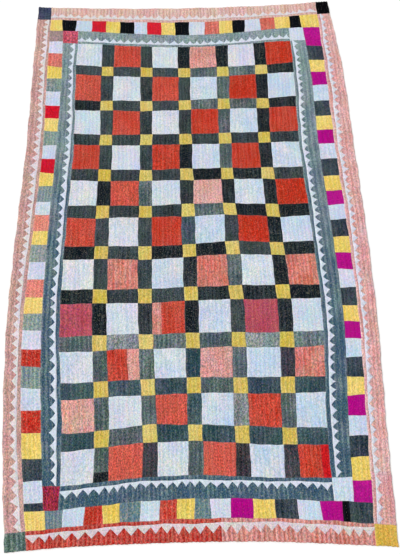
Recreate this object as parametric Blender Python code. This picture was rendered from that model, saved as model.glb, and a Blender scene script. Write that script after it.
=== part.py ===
"""A ralli quilt, hand pieced and quilted, laid flat and face up.

The stitched layers at the back carry a pieced centre, a band with sawtooth trim,
a row of small squares and an outer border with a second sawtooth trim.
X runs across the quilt, Y from its foot to its head, and Z up from the surface.
"""
import bmesh
import bpy
import numpy as np

# Driving dimensions, in metres
GROUND_THICKNESS = 0.0045
CLOTH_THICKNESS = 0.0010
PIECE_GAP = 0.0003
RIB_PITCH = 0.0156
RIB_HEIGHT = 0.0012
TRIM_THICKNESS = 0.0010

# The lengthwise lines, left to right: how far each runs from the middle (x) where it
# passes these heights (y), because no line of a hand-sewn quilt is straight
HEIGHTS = (-1.10, -0.74, -0.37, 0.00, 0.37, 0.74, 1.10)
LENGTHWISE = {
    "left_edge": (-0.622, -0.658, -0.677, -0.672, -0.660, -0.659, -0.656),
    "left_border": (-0.553, -0.596, -0.619, -0.608, -0.593, -0.597, -0.597),
    "left_squares": (-0.495, -0.530, -0.552, -0.550, -0.539, -0.535, -0.546),
    "left_field": (-0.462, -0.462, -0.488, -0.483, -0.469, -0.475, -0.470),
    "right_field": (0.428, 0.434, 0.461, 0.459, 0.449, 0.460, 0.460),
    "right_squares": (0.488, 0.509, 0.539, 0.537, 0.528, 0.534, 0.515),
    "right_border": (0.548, 0.571, 0.595, 0.599, 0.595, 0.599, 0.597),
    "right_edge": (0.622, 0.639, 0.663, 0.673, 0.674, 0.676, 0.653),
}

# The crosswise lines, foot to head: how far each runs from the middle (y) where it
# passes these distances (x)
DISTANCES = (-0.66, -0.44, -0.22, 0.00, 0.22, 0.44, 0.66)
CROSSWISE = {
    "foot_edge": (-1.083, -1.074, -1.073, -1.076, -1.084, -1.100, -1.118),
    "foot_border": (-1.030, -1.017, -1.009, -1.008, -1.016, -1.033, -1.058),
    "foot_squares": (-0.970, -0.964, -0.951, -0.949, -0.959, -0.974, -0.990),
    "foot_field": (-0.888, -0.894, -0.880, -0.878, -0.894, -0.902, -0.906),
    "head_field": (0.905, 0.893, 0.876, 0.868, 0.878, 0.896, 0.900),
    "head_squares": (0.970, 0.961, 0.944, 0.934, 0.945, 0.967, 0.972),
    "head_border": (1.032, 1.020, 1.009, 1.006, 1.014, 1.032, 1.050),
    "head_edge": (1.102, 1.093, 1.088, 1.088, 1.093, 1.103, 1.121),
}
MIDDLE = 3                      # the entry of each row above that is at the middle

# Flat distances at which the long pieces bend between the crosswise lines
BENDS = (-0.55, -0.19, 0.18, 0.53)
# Flat distances at which the ground bends between the lengthwise lines
GROUND_BENDS = (-0.36, -0.24, -0.12, 0.0, 0.12, 0.24, 0.36)

# The same cloth is pieced from two lengths in two of the outer borders
FOOT_BORDER_JOIN = 0.068        # red to the left of it, pink to the right
RIGHT_BORDER_JOIN = -0.862      # one pink below it, another above

# The sawtooth trims: the seam that each one follows and the two lines it ends at, the
# way its tips point from the seam, its teeth, and how far from the seam its straight
# edge, its valleys and its tips are
TRIM_COLUMNS = ("seam", "start", "end", "way", "teeth", "straight", "valley", "tip")
TRIMS = {
    "trim_outer_left": ("left_border", "foot_border", "head_border", -1, 60, 0.0115, 0.0165, 0.037),
    "trim_outer_right": ("right_border", "foot_border", "head_border", 1, 62, 0.0125, 0.017, 0.036),
    "trim_outer_head": ("head_border", "left_border", "right_border", 1, 35, 0.0135, 0.019, 0.040),
    "trim_outer_foot": ("foot_border", "left_border", "right_border", -1, 29, 0.012, 0.019, 0.042),
    "trim_inner_left": ("left_field", "foot_field", "head_field", -1, 47, 0.0125, 0.018, 0.037),
    "trim_inner_right": ("right_field", "foot_field", "head_field", 1, 53, 0.0135, 0.019, 0.0385),
    "trim_inner_head": ("head_field", "left_field", "right_field", 1, 28, 0.010, 0.0155, 0.0345),
    "trim_inner_foot": ("foot_field", "left_field", "right_field", -1, 27, 0.013, 0.018, 0.0375),
}
TRIM_EDGE_STEP = 0.30           # longest straight run of a trim's plain edge

# Cloth colours, as red, green and blue from 0 to 1 in linear light
COLOURS = {
    "undyed": (0.52, 0.47, 0.40),
    "faded_black": (0.028, 0.034, 0.034),
    "dusty_pink": (0.66, 0.40, 0.36),
    "salmon": (0.70, 0.31, 0.26),
    "red": (0.50, 0.050, 0.030),
    "ink_blue": (0.020, 0.032, 0.060),
    "black": (0.006, 0.006, 0.008),
    "bottle_green": (0.055, 0.105, 0.095),
    "gold": (0.66, 0.43, 0.08),
    "yellow": (0.78, 0.60, 0.17),
    "grey_blue": (0.14, 0.20, 0.21),
    "steel_blue": (0.075, 0.135, 0.175),
    "crimson": (0.44, 0.035, 0.070),
    "white": (0.72, 0.77, 0.81),
}
CLOTH_ROUGHNESS = 0.92

CLOTH_BASE = GROUND_THICKNESS + PIECE_GAP
TRIM_BASE = CLOTH_BASE + CLOTH_THICKNESS + RIB_HEIGHT + PIECE_GAP
PAST_END = 0.2                  # how far past its last station a curve is read, in spans
SETTLING_ROUNDS = 12            # enough for the crossing of two lines to stop moving
SHORTEST_STEP = 0.003           # a stop nearer than this to a piece's edge is left out
OUTLINE_READINGS = 41


def smooth(stations, values, at):
    """The smooth curve through values at stations, read at the given places."""
    stations = np.asarray(stations)
    values = np.asarray(values)
    slopes = np.gradient(values, stations)
    low = np.clip(np.searchsorted(stations, at) - 1, 0, len(stations) - 2)
    width = stations[low + 1] - stations[low]
    u = np.clip((at - stations[low]) / width, -PAST_END, 1 + PAST_END)
    return ((1 + 2 * u) * (1 - u) ** 2 * values[low] + u * (1 - u) ** 2 * width * slopes[low]
            + u ** 2 * (3 - 2 * u) * values[low + 1] - u ** 2 * (1 - u) * width * slopes[low + 1])


def flat(line):
    """A line's own place in the flat cloth: where it crosses the middle."""
    return (LENGTHWISE.get(line) or CROSSWISE[line])[MIDDLE]


def between(lines, stations, along, place):
    """Where the cloth at a flat place lies, between the two lines next to it."""
    flats = [row[MIDDLE] for row in lines.values()]
    curves = np.array([smooth(stations, row, along) for row in lines.values()])
    low = np.clip(np.searchsorted(flats, place, side="right") - 1, 0, len(flats) - 2)
    share = (place - np.take(flats, low)) / (np.take(flats, low + 1) - np.take(flats, low))
    each = np.arange(len(along))
    return curves[low, each] * (1 - share) + curves[low + 1, each] * share


def laid(across, along):
    """Where points of the flat cloth lie on the surface, as x and y."""
    across = np.asarray(across, dtype=float)
    along = np.asarray(along, dtype=float)
    x, y = across.copy(), along.copy()
    for _ in range(SETTLING_ROUNDS):
        x = between(LENGTHWISE, HEIGHTS, y, across)
        y = between(CROSSWISE, DISTANCES, x, along)
    return x, y


def middle_of_outline():
    """The middle of the box around the outline, which the quilt is centred on."""
    sides = np.linspace(flat("foot_edge"), flat("head_edge"), OUTLINE_READINGS)
    ends = np.linspace(flat("left_edge"), flat("right_edge"), OUTLINE_READINGS)
    left, _ = laid(np.full(OUTLINE_READINGS, flat("left_edge")), sides)
    right, _ = laid(np.full(OUTLINE_READINGS, flat("right_edge")), sides)
    _, foot = laid(ends, np.full(OUTLINE_READINGS, flat("foot_edge")))
    _, head = laid(ends, np.full(OUTLINE_READINGS, flat("head_edge")))
    return (left.min() + right.max()) / 2, (foot.min() + head.max()) / 2


def rib(across):
    """How high a quilted rib stands over the row of stitches beside it."""
    return RIB_HEIGHT * (0.5 - 0.5 * np.cos(2 * np.pi * across / RIB_PITCH))


def stops(start, end, inner):
    """A piece's own edges, half a gap in from its seams, and the stops between them."""
    inside = [place for place in inner if start + SHORTEST_STEP < place < end - SHORTEST_STEP]
    return [start + PIECE_GAP / 2] + inside + [end - PIECE_GAP / 2]


def rib_stops():
    """The middle of each row of stitches and of each rib, across the whole quilt."""
    half = RIB_PITCH / 2
    first = int(np.ceil(flat("left_edge") / half))
    last = int(np.floor(flat("right_edge") / half))
    return [count * half for count in range(first, last + 1)]


def material(name, colour):
    """A plain cotton of the named colour."""
    cloth = bpy.data.materials.new(name)
    cloth.use_nodes = True
    shader = cloth.node_tree.nodes["Principled BSDF"]
    shader.inputs["Base Color"].default_value = (*COLOURS[colour], 1.0)
    shader.inputs["Roughness"].default_value = CLOTH_ROUGHNESS
    shader.inputs["Metallic"].default_value = 0.0
    return cloth


def cloth_piece(name, colour, columns, rows, base, thickness, ribbed):
    """A piece of cloth between its columns and rows, flat below and ribbed on its face."""
    shape = bmesh.new()
    bmesh.ops.create_grid(shape, x_segments=len(columns) - 1, y_segments=len(rows) - 1, size=1)
    column = [round((point.co.x + 1) / 2 * (len(columns) - 1)) for point in shape.verts]
    row = [round((point.co.y + 1) / 2 * (len(rows) - 1)) for point in shape.verts]
    across = np.array([columns[count] for count in column])
    x, y = laid(across, np.array([rows[count] for count in row]))
    top = base + thickness + (rib(across) if ribbed else 0 * across)
    for point, point_x, point_y, height in zip(shape.verts, x - CENTRE[0], y - CENTRE[1], top):
        point.co = (point_x, point_y, height)
    lifted = bmesh.ops.extrude_face_region(shape, geom=shape.faces[:])
    under = [item for item in lifted["geom"] if isinstance(item, bmesh.types.BMVert)]
    for point in under:
        point.co.z = base
    bmesh.ops.recalc_face_normals(shape, faces=shape.faces[:])
    mesh = bpy.data.meshes.new(name)
    shape.to_mesh(mesh)
    shape.free()
    mesh.materials.append(material(name, colour))
    piece = bpy.data.objects.new(name, mesh)
    QUILT.objects.link(piece)
    return piece


def top_piece(name, colour, left, right, foot, head):
    """A ribbed piece of the top between two lengthwise and two crosswise places."""
    columns = stops(left, right, rib_stops())
    crosswise = [flat(line) for line in CROSSWISE] + list(BENDS)
    rows = stops(foot, head, sorted(crosswise))
    return cloth_piece(name, colour, columns, rows, CLOTH_BASE, CLOTH_THICKNESS, ribbed=True)


def panel(name, colour, left, right, foot, head):
    """A piece of the top between four named lines."""
    return top_piece(name, colour, flat(left), flat(right), flat(foot), flat(head))


def trim(name, seam, start, end, way, teeth, straight, valley, tip):
    """A sawtooth strip: a flat outline, straight towards its seam, with tips the other way."""
    first = flat(start) + PIECE_GAP
    last = flat(end) - PIECE_GAP
    toothed = np.linspace(first, last, 2 * teeth + 1)
    depth = np.where(np.arange(len(toothed)) % 2 == 1, tip, valley)
    plain = np.linspace(last, first, int((last - first) / TRIM_EDGE_STEP) + 2)
    along = np.concatenate([toothed, plain])
    away = flat(seam) + way * np.concatenate([depth, np.full(len(plain), straight)])
    across_first = seam in LENGTHWISE
    x, y = laid(away, along) if across_first else laid(along, away)
    curve = bpy.data.curves.new(name, "CURVE")
    curve.dimensions = "2D"
    curve.fill_mode = "BOTH"
    curve.extrude = TRIM_THICKNESS / 2
    line = curve.splines.new("POLY")
    line.points.add(len(x) - 1)
    for point, point_x, point_y in zip(line.points, x - CENTRE[0], y - CENTRE[1]):
        point.co = (point_x, point_y, 0, 1)
    line.use_cyclic_u = True
    curve.materials.append(material(name, "white"))
    strip = bpy.data.objects.new(name, curve)
    strip.location.z = TRIM_BASE + TRIM_THICKNESS / 2
    QUILT.objects.link(strip)
    return strip


def ground():
    """The stitched layers under the top, seen at the edge and from behind."""
    columns = sorted([flat(line) for line in LENGTHWISE] + list(GROUND_BENDS))
    rows = sorted([flat(line) for line in CROSSWISE] + list(BENDS))
    return cloth_piece("quilted_ground", "undyed", columns, rows, 0.0, GROUND_THICKNESS,
                       ribbed=False)


def outer_border():
    """The pink and red strips at the edge, and the odd squares at their corners."""
    foot_join = ("border_foot_red", "red", flat("left_border"), FOOT_BORDER_JOIN)
    foot_rest = ("border_foot_pink", "salmon", FOOT_BORDER_JOIN, flat("right_border"))
    for name, colour, left, right in (foot_join, foot_rest):
        top_piece(name, colour, left, right, flat("foot_edge"), flat("foot_border"))
    right_lower = ("border_right_lower", flat("foot_border"), RIGHT_BORDER_JOIN)
    right_upper = ("border_right_upper", RIGHT_BORDER_JOIN, flat("head_border"))
    for name, foot, head in (right_lower, right_upper):
        top_piece(name, "salmon", flat("right_border"), flat("right_edge"), foot, head)
    panel("border_left", "dusty_pink", "left_edge", "left_border", "foot_border", "head_border")
    panel("border_head", "dusty_pink", "left_border", "right_border", "head_border", "head_edge")
    panel("corner_head_left", "ink_blue", "left_edge", "left_border", "head_border", "head_edge")
    panel("corner_head_right", "black", "right_border", "right_edge", "head_border", "head_edge")
    panel("corner_foot_left", "bottle_green", "left_edge", "left_border", "foot_edge", "foot_border")
    panel("corner_foot_right", "gold", "right_border", "right_edge", "foot_edge", "foot_border")


def squares_border():
    """The four strips pieced from small squares; the end strips hold the corners."""
    panel("squares_head", "yellow", "left_border", "right_border", "head_squares", "head_border")
    panel("squares_foot", "yellow", "left_border", "right_border", "foot_border", "foot_squares")
    panel("squares_left", "yellow", "left_border", "left_squares", "foot_squares", "head_squares")
    panel("squares_right", "yellow", "right_squares", "right_border", "foot_squares", "head_squares")


def inner_band():
    """The grey-blue strips around the centre, and the squares at their corners."""
    panel("band_left", "grey_blue", "left_squares", "left_field", "foot_field", "head_field")
    panel("band_right", "grey_blue", "right_field", "right_squares", "foot_field", "head_field")
    panel("band_head", "grey_blue", "left_field", "right_field", "head_field", "head_squares")
    panel("band_foot", "steel_blue", "left_field", "right_field", "foot_squares", "foot_field")
    panel("band_corner_head_left", "crimson", "left_squares", "left_field", "head_field",
          "head_squares")
    panel("band_corner_head_right", "white", "right_field", "right_squares", "head_field",
          "head_squares")
    panel("band_corner_foot_left", "crimson", "left_squares", "left_field", "foot_squares",
          "foot_field")
    panel("band_corner_foot_right", "white", "right_field", "right_squares", "foot_squares",
          "foot_field")


for leftover in list(bpy.data.objects):
    bpy.data.objects.remove(leftover, do_unlink=True)

CENTRE = middle_of_outline()
QUILT = bpy.data.collections.new("ralli_quilt")
bpy.context.scene.collection.children.link(QUILT)

ground()
panel("centre_field", "faded_black", "left_field", "right_field", "foot_field", "head_field")
inner_band()
squares_border()
outer_border()
for trim_name, trim_row in TRIMS.items():
    trim(trim_name, **dict(zip(TRIM_COLUMNS, trim_row)))
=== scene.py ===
"""The looks of the ralli quilt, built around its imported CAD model.

Each piece of cloth is first cut in flat places: how far across and how far along the
flat cloth a point is. The lines that shape the CAD model then carry those places to
the surface, so that every seam runs as it does there. Lengths are in metres.
"""
import math
from collections import namedtuple

import bpy
import numpy as np
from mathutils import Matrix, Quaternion, Vector


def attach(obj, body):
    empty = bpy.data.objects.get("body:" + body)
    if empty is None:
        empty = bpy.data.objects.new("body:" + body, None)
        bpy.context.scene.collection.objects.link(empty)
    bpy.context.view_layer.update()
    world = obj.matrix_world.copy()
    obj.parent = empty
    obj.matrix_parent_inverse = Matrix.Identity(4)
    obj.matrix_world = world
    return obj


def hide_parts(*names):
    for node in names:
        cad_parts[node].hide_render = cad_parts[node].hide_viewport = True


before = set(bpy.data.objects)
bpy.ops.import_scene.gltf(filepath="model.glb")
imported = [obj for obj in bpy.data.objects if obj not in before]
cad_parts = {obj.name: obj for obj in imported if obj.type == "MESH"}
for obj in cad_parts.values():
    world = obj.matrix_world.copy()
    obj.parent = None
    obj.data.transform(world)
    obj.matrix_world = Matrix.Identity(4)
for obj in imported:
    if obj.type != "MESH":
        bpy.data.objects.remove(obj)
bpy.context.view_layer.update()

# The quilt's layers, from the surface it lies on upwards
GROUND_THICKNESS = 0.0045
CLOTH_THICKNESS = 0.0010
LAYER_GAP = 0.0003
CLOTH_BASE = GROUND_THICKNESS + LAYER_GAP

# The rows of running stitches, and what they do to the cloth
ROW_SPACINGS = (0.0115, 0.0203)     # from one row to the next, at the least and at most
RIB_HEIGHT = 0.0011
RIB_SHARPNESS = 0.8             # under 1 narrows the valley that the thread pulls in
STITCH_PITCH = 0.009            # from one stitch to the next in its row
STITCH_LENGTH = 0.0042
STITCH_WIDTH = 0.0006
STITCH_RISE = 0.0003
STITCH_SINK = 0.00015
PUCKER_DEPTH = 0.0009
WRINKLE_DEPTH = 0.00035
LOWEST = -0.0003                # no dimple goes deeper than this
GROOVE_DEPTH = 0.0007           # how far the rows pull in the back
FOOT_PULL = 0.15                # how much fuller the ribs are at the foot than at the head
SLACKNESS = (0.28, 0.22)        # how much slow and quick waves change the ribs' fullness
RIB_WEAR_AND_SHADE_AT_HEAD = 1.2              # how much the ribs' crests are rubbed paler with painted light, and their valleys darkened with painted shade, at the head
RIB_WEAR_AND_SHADE_AT_FOOT = 0.3              # and how much more at the foot
ROW_TURN = 0.618                # shares out the rows that are shifted by half a stitch
FAR_OFF = 1.0                   # the distance given to places with no seam near
ROW_WANDER = 0.0016             # how far a row strays from its straight line
# The waves it strays in: share, length, how much each metre across turns it, start
ROW_WAVES = ((0.5, 0.53, 9, 0.0), (0.35, 0.21, 17, 1.3), (0.3, 0.135, 130, 0.0))
SHUFFLE = 0.0017                # how far the quilting pulls the cloth and its seams about
COLUMNS_PER_RIB = 5
BACKING_COLUMNS_PER_RIB = 4
ROW_STEP = STITCH_PITCH / 2
BACKING_ROW_STEP = 0.036

# A seam, seen from above
SEAM_GAP = 0.0001
SEAM_DIP = 0.0006
SEAM_WIDTH = 0.0018
RIM_RISE = 0.00035              # the turned-in cloth under a seam lifts the piece beside it
RIM_WIDTH = 0.0042
RINGS = (0.0, 0.0010, 0.0030)
RING_CLEARANCE = 0.0056

# The quilt's edge, where top and backing are turned in and sewn together
EDGE_RADIUS = 0.0036
EDGE_LOW = 0.0021
EDGE_HIGH = 0.0027
SCALLOP = 0.0016                # how far a row of stitches pulls in the foot and the head
SCALLOP_REACH = 0.02
EDGE_RIPPLE = 0.0009

# The lengthwise lines, left to right: how far each runs from the middle (x) where it
# passes these heights (y)
HEIGHTS = (-1.10, -0.74, -0.37, 0.00, 0.37, 0.74, 1.10)
LENGTHWISE = {
    "left_edge": (-0.622, -0.658, -0.677, -0.672, -0.660, -0.659, -0.656),
    "left_border": (-0.553, -0.596, -0.619, -0.608, -0.593, -0.597, -0.597),
    "left_squares": (-0.495, -0.530, -0.552, -0.550, -0.539, -0.535, -0.546),
    "left_field": (-0.462, -0.462, -0.488, -0.483, -0.469, -0.475, -0.470),
    "right_field": (0.428, 0.434, 0.461, 0.459, 0.449, 0.460, 0.460),
    "right_squares": (0.488, 0.509, 0.539, 0.537, 0.528, 0.534, 0.515),
    "right_border": (0.548, 0.571, 0.595, 0.599, 0.595, 0.599, 0.597),
    "right_edge": (0.622, 0.639, 0.663, 0.673, 0.674, 0.676, 0.653),
}

# The crosswise lines, foot to head: how far each runs from the middle (y) where it
# passes these distances (x)
DISTANCES = (-0.66, -0.44, -0.22, 0.00, 0.22, 0.44, 0.66)
CROSSWISE = {
    "foot_edge": (-1.083, -1.074, -1.073, -1.076, -1.084, -1.100, -1.118),
    "foot_border": (-1.030, -1.017, -1.009, -1.008, -1.016, -1.033, -1.058),
    "foot_squares": (-0.970, -0.964, -0.951, -0.949, -0.959, -0.974, -0.990),
    "foot_field": (-0.888, -0.894, -0.880, -0.878, -0.894, -0.902, -0.906),
    "head_field": (0.905, 0.893, 0.876, 0.868, 0.878, 0.896, 0.900),
    "head_squares": (0.970, 0.961, 0.944, 0.934, 0.945, 0.967, 0.972),
    "head_border": (1.032, 1.020, 1.009, 1.006, 1.014, 1.032, 1.050),
    "head_edge": (1.102, 1.093, 1.088, 1.088, 1.093, 1.103, 1.121),
}
MIDDLE = 3                      # the entry of each row above that is at the middle
FOOT_BORDER_JOIN = 0.068        # red to the left of it, pink to the right
RIGHT_BORDER_JOIN = -0.862      # one pink below it, another above

# The middle of each upright sash, left to right (x), at these heights (y)
SASH_HEIGHTS = (-0.75, -0.37, 0.00, 0.37, 0.75)
UPRIGHT_MIDDLES = (
    (-0.329, -0.346, -0.346, -0.340, -0.340),
    (-0.167, -0.182, -0.182, -0.177, -0.175),
    (-0.015, -0.014, -0.016, -0.017, -0.013),
    (0.143, 0.153, 0.149, 0.145, 0.153),
    (0.305, 0.326, 0.317, 0.307, 0.320),
)
# The middle of each level sash, head to foot (y), at these distances (x)
SASH_DISTANCES = (-0.34, -0.17, 0.00, 0.17, 0.34)
LEVEL_MIDDLES = (
    (0.746, 0.737, 0.733, 0.736, 0.746),
    (0.570, 0.566, 0.568, 0.572, 0.572),
    (0.405, 0.402, 0.402, 0.404, 0.404),
    (0.243, 0.238, 0.239, 0.240, 0.236),
    (0.083, 0.080, 0.083, 0.083, 0.072),
    (-0.086, -0.092, -0.085, -0.079, -0.087),
    (-0.257, -0.260, -0.257, -0.255, -0.260),
    (-0.429, -0.429, -0.430, -0.433, -0.437),
    (-0.592, -0.588, -0.588, -0.593, -0.598),
    (-0.755, -0.742, -0.746, -0.758, -0.768),
)
UPRIGHT_SASH_WIDTH = 0.0516
LEVEL_SASH_WIDTHS = (0.048, 0.055)      # at the head and at the foot
SEAM_SHIFT = 0.0012             # each row is pieced by itself, so its seams miss the next
SEAM_TILT = 0.0014
SEAM_WAVE = 0.0014
SEAM_WAVE_LENGTH = 0.37

# Which cloth each patch is cut from, a letter each, head to foot
PATCH_ROWS = ("WRWPWR", "RWRWRW", "WRWRWR", "RWRWRW", "WLWPWR", "RWRWRW",
              "WSWSWS", "CWJWCW", "WJWPWS", "PWLWLW", "WLWLWJ")
PATCH_CLOTHS = {
    "W": ("patches_white", 0.40),
    "R": ("patches_red", 0.20),
    "L": ("patches_red", 0.44),
    "S": ("patches_salmon", 0.30),
    "P": ("patches_salmon", 0.75),
    "B": ("patches_scarlet", 0.20),
    "C": ("patches_crimson", 0.30),
}
# A patch joined from two strips: row, column, left cloth, its share, right cloth
JOINED_PATCHES = (
    (8, 3, "S", 0.28, "R"),
    (9, 2, "R", 0.63, "P"),
    (11, 6, "R", 0.74, "B"),
)
UPRIGHT_SASHES = ("DDKKK", "DDDGK", "DDDGK", "DDKGK", "KGKKK", "DDBDK",
                  "DDKGK", "KDKDK", "GGBGP", "GGBLG", "GPGPP")
LEVEL_SASHES = ("DDDGGK", "KDDGGK", "DDDDDD", "DDDKKD", "DDDGKK",
                "KDKKDK", "KDDKKK", "GLGGLG", "BBBGBB", "BGBBBB")
SASH_CLOTHS = {
    "K": ("sashes_black", 0.08),
    "D": ("sashes_black", 0.52),
    "G": ("sashes_grey", 0.15),
    "L": ("sashes_grey", 0.75),
    "B": ("sashes_blue_green", 0.30),
    "P": ("sashes_purple", 0.42),
}
BLACK_SASH_FOOT = 0.28          # the share of the last row's first upright sash that is black
YELLOW_FADE = 0.35
FADE_CHANGE = 0.14              # how much paler or fresher one piece of a cloth is than another
SIDE_PAINTED_LIGHT = 0.25                # how much paler the patches are painted for each metre to the left, as painted light

# The rows of small squares: cloth letters, the lines that the row starts and ends at and
# runs between, and widths in millimetres, cut by eye
SMALL_SQUARES = {
    "squares_head": ("YKWCYKWCYKWOYKWOYKY", "left_border", "right_border", "head_squares", "head_border",
                     (55, 57, 69, 62, 62, 62, 57, 63, 61, 62, 69, 65, 59, 55, 70, 65, 71, 62, 67)),
    "squares_foot": ("YTWRYTWRYTWMYDWMKD", "left_border", "right_border", "foot_border", "foot_squares",
                     (59, 71, 67, 57, 54, 64, 61, 54, 55, 51, 64, 71, 71, 71, 75, 71, 26, 75)),
    "squares_left": ("VWOYGWCYGWCYGWSYGWSYGWRGWRYDWD",
                     "head_squares", "foot_squares", "left_border", "left_squares",
                     (60, 65, 69, 62, 66, 70, 63, 62, 66, 64, 63, 58, 69, 55, 67,
                      57, 68, 70, 69, 60, 62, 68, 59, 75, 73, 74, 82, 67, 66, 23)),
    "squares_right": ("MDYMWDYMWDYMWDYMWDYMWDYMWDYM",
                      "head_squares", "foot_squares", "right_squares", "right_border",
                      (100, 76, 64, 68, 82, 75, 68, 67, 70, 78, 67, 61, 65, 72,
                       66, 68, 71, 69, 60, 62, 68, 70, 62, 70, 65, 67, 74, 63)),
}
SQUARE_CLOTHS = {
    "Y": ("squares_yellow", 0.30),
    "K": ("squares_black", 0.20),
    "W": ("squares_white", 0.30),
    "C": ("squares_bright_red", 0.10),
    "O": ("squares_red", 0.45),
    "R": ("squares_red", 0.02),
    "S": ("squares_red", 0.90),
    "M": ("squares_magenta", 0.20),
    "D": ("squares_dark", 0.30),
    "G": ("squares_grey", 0.55),
    "T": ("squares_grey", 0.10),
    "V": ("squares_mauve", 0.30),
}
SQUARE_TILT = 0.0022

# The long strips and the odd squares of the borders: the look, the slot, how faded (None
# for the band, which fades along its length), and the left, right, foot and head of each
STRIPS = {
    "band_left": ("band", "grey_blue", None,
                  "left_squares", "left_field", "foot_field", "head_field"),
    "band_right": ("band", "grey_blue", None,
                   "right_field", "right_squares", "foot_field", "head_field"),
    "band_head": ("band", "grey_blue", None,
                  "left_field", "right_field", "head_field", "head_squares"),
    "band_foot": ("band", "steel_blue", None,
                  "left_field", "right_field", "foot_squares", "foot_field"),
    "band_corner_head_left": ("rose", "crimson", 0.3,
                              "left_squares", "left_field", "head_field", "head_squares"),
    "band_corner_head_right": ("squares_white", "white", 0.3,
                               "right_field", "right_squares", "head_field", "head_squares"),
    "band_corner_foot_left": ("plum", "crimson", 0.3,
                              "left_squares", "left_field", "foot_squares", "foot_field"),
    "band_corner_foot_right": ("squares_white", "white", 0.3,
                               "right_field", "right_squares", "foot_squares", "foot_field"),
    "border_left": ("pink_left", "dusty_pink", 0.3,
                    "left_edge", "left_border", "foot_border", "head_border"),
    "border_head": ("pink_head", "dusty_pink", 0.3,
                    "left_border", "right_border", "head_border", "head_edge"),
    "border_right_upper": ("pink_right", "salmon", 0.3,
                           "right_border", "right_edge", RIGHT_BORDER_JOIN, "head_border"),
    "border_right_lower": ("pink_right", "salmon", 0.25,
                           "right_border", "right_edge", "foot_border", RIGHT_BORDER_JOIN),
    "border_foot_red": ("red_foot", "red", 0.25,
                        "left_border", FOOT_BORDER_JOIN, "foot_edge", "foot_border"),
    "border_foot_pink": ("pink_foot", "salmon", 0.4,
                         FOOT_BORDER_JOIN, "right_border", "foot_edge", "foot_border"),
    "corner_head_left": ("ink", "ink_blue", 0.3,
                         "left_edge", "left_border", "head_border", "head_edge"),
    "corner_head_right": ("jet", "black", 0.1,
                          "right_border", "right_edge", "head_border", "head_edge"),
    "corner_foot_left": ("bottle", "bottle_green", 0.3,
                         "left_edge", "left_border", "foot_edge", "foot_border"),
    "corner_foot_right": ("gold", "gold", 0.3,
                          "right_border", "right_edge", "foot_edge", "foot_border"),
}

# The slot name listed for each group of patches or squares
GROUP_SLOTS = {
    "white": ("patches_white", "squares_white"),
    "red": ("patches_red", "patches_scarlet", "squares_bright_red", "squares_red"),
    "salmon": ("patches_salmon",),
    "crimson": ("patches_crimson",),
    "faded_black": ("sashes_black", "sashes_purple", "squares_dark"),
    "grey_blue": ("sashes_grey", "squares_grey"),
    "bottle_green": ("sashes_blue_green",),
    "yellow": ("corner_squares", "squares_yellow"),
    "black": ("squares_black",),
    "magenta": ("squares_magenta",),
    "dusty_pink": ("squares_mauve",),
}

# The sawtooth trims: the seam each follows, the two lines it ends at, the way its tips
# point, its teeth, how far from the seam its straight edge, valleys and tips are, how far
# its teeth are bowed, from 0, straight, to 1, curved between like leaves, and how much
# farther from the seam it is at its start, and nearer at its end
TRIM_COLUMNS = ("seam", "start", "end", "way", "teeth", "straight", "valley", "tip", "bow", "lean")
TRIMS = {
    "outer_left": ("left_border", "foot_border", "head_border", -1, 60,
                   0.0115, 0.0165, 0.037, 0.2, 0.003),
    "outer_right": ("right_border", "foot_border", "head_border", 1, 62,
                    0.0125, 0.017, 0.036, 0.3, -0.001),
    "outer_head": ("head_border", "left_border", "right_border", 1, 35,
                   0.0135, 0.019, 0.040, 0.4, 0.001),
    "outer_foot": ("foot_border", "left_border", "right_border", -1, 29,
                   0.012, 0.019, 0.042, 0.05, 0.001),
    "inner_left": ("left_field", "foot_field", "head_field", -1, 47,
                   0.0125, 0.018, 0.037, 0.6, 0.0015),
    "inner_right": ("right_field", "foot_field", "head_field", 1, 53,
                    0.0135, 0.019, 0.0385, 0.65, 0.0018),
    "inner_head": ("head_field", "left_field", "right_field", 1, 28,
                   0.0100, 0.0155, 0.0345, 0.85, 0.001),
    "inner_foot": ("foot_field", "left_field", "right_field", -1, 27,
                   0.013, 0.018, 0.0375, 0.6, 0.0),
}
TRIM_WANDER = 0.0015
TOOTH_WIDTHS = (0.8, 1.2)
VALLEY_CHANGE = 0.0012
TIP_CHANGES = (-0.0035, 0.0025)
TRIM_THICKNESS = 0.0008
TRIM_LIFT = 0.0003
TRIM_PUFF = 0.0003
TRIM_EDGE = 0.0016
TRIM_END = 0.001                # how far a trim ends short of the line it ends at
TRIM_WAVES = (0.49, 0.18)
TRIM_FADE = 0.35
TOOTH_SLANT = 0.7               # the distance to a slanted edge, as a share of that along it
EDGE_CLEARANCE = 0.001          # no quilting stitch is nearer than this to a trim's edge
TRIM_LOOKS = {
    "outer_left": "trim_pale",
    "outer_head": "trim_pale",
    "outer_foot": "trim_lilac",
    "outer_right": "trim_grey",
}
TOOTH_STEPS = 12
TRIM_STOPS = (0.0, 0.08, 0.22, 0.42, 0.62, 0.82, 1.0)
BOW_POWER = 0.6

# The camera, from the photograph: where it stands, the spot of the quilt it looks at,
# and how far it is turned about its own line of sight
CAMERA_PLACE = Vector((-0.0396, -0.7741, 1.7699))
CAMERA_SPOT = Vector((0.0209, -0.1933, 0.007))
CAMERA_ROLL = math.radians(4.07)
CAMERA_LENS = 32.49
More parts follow.
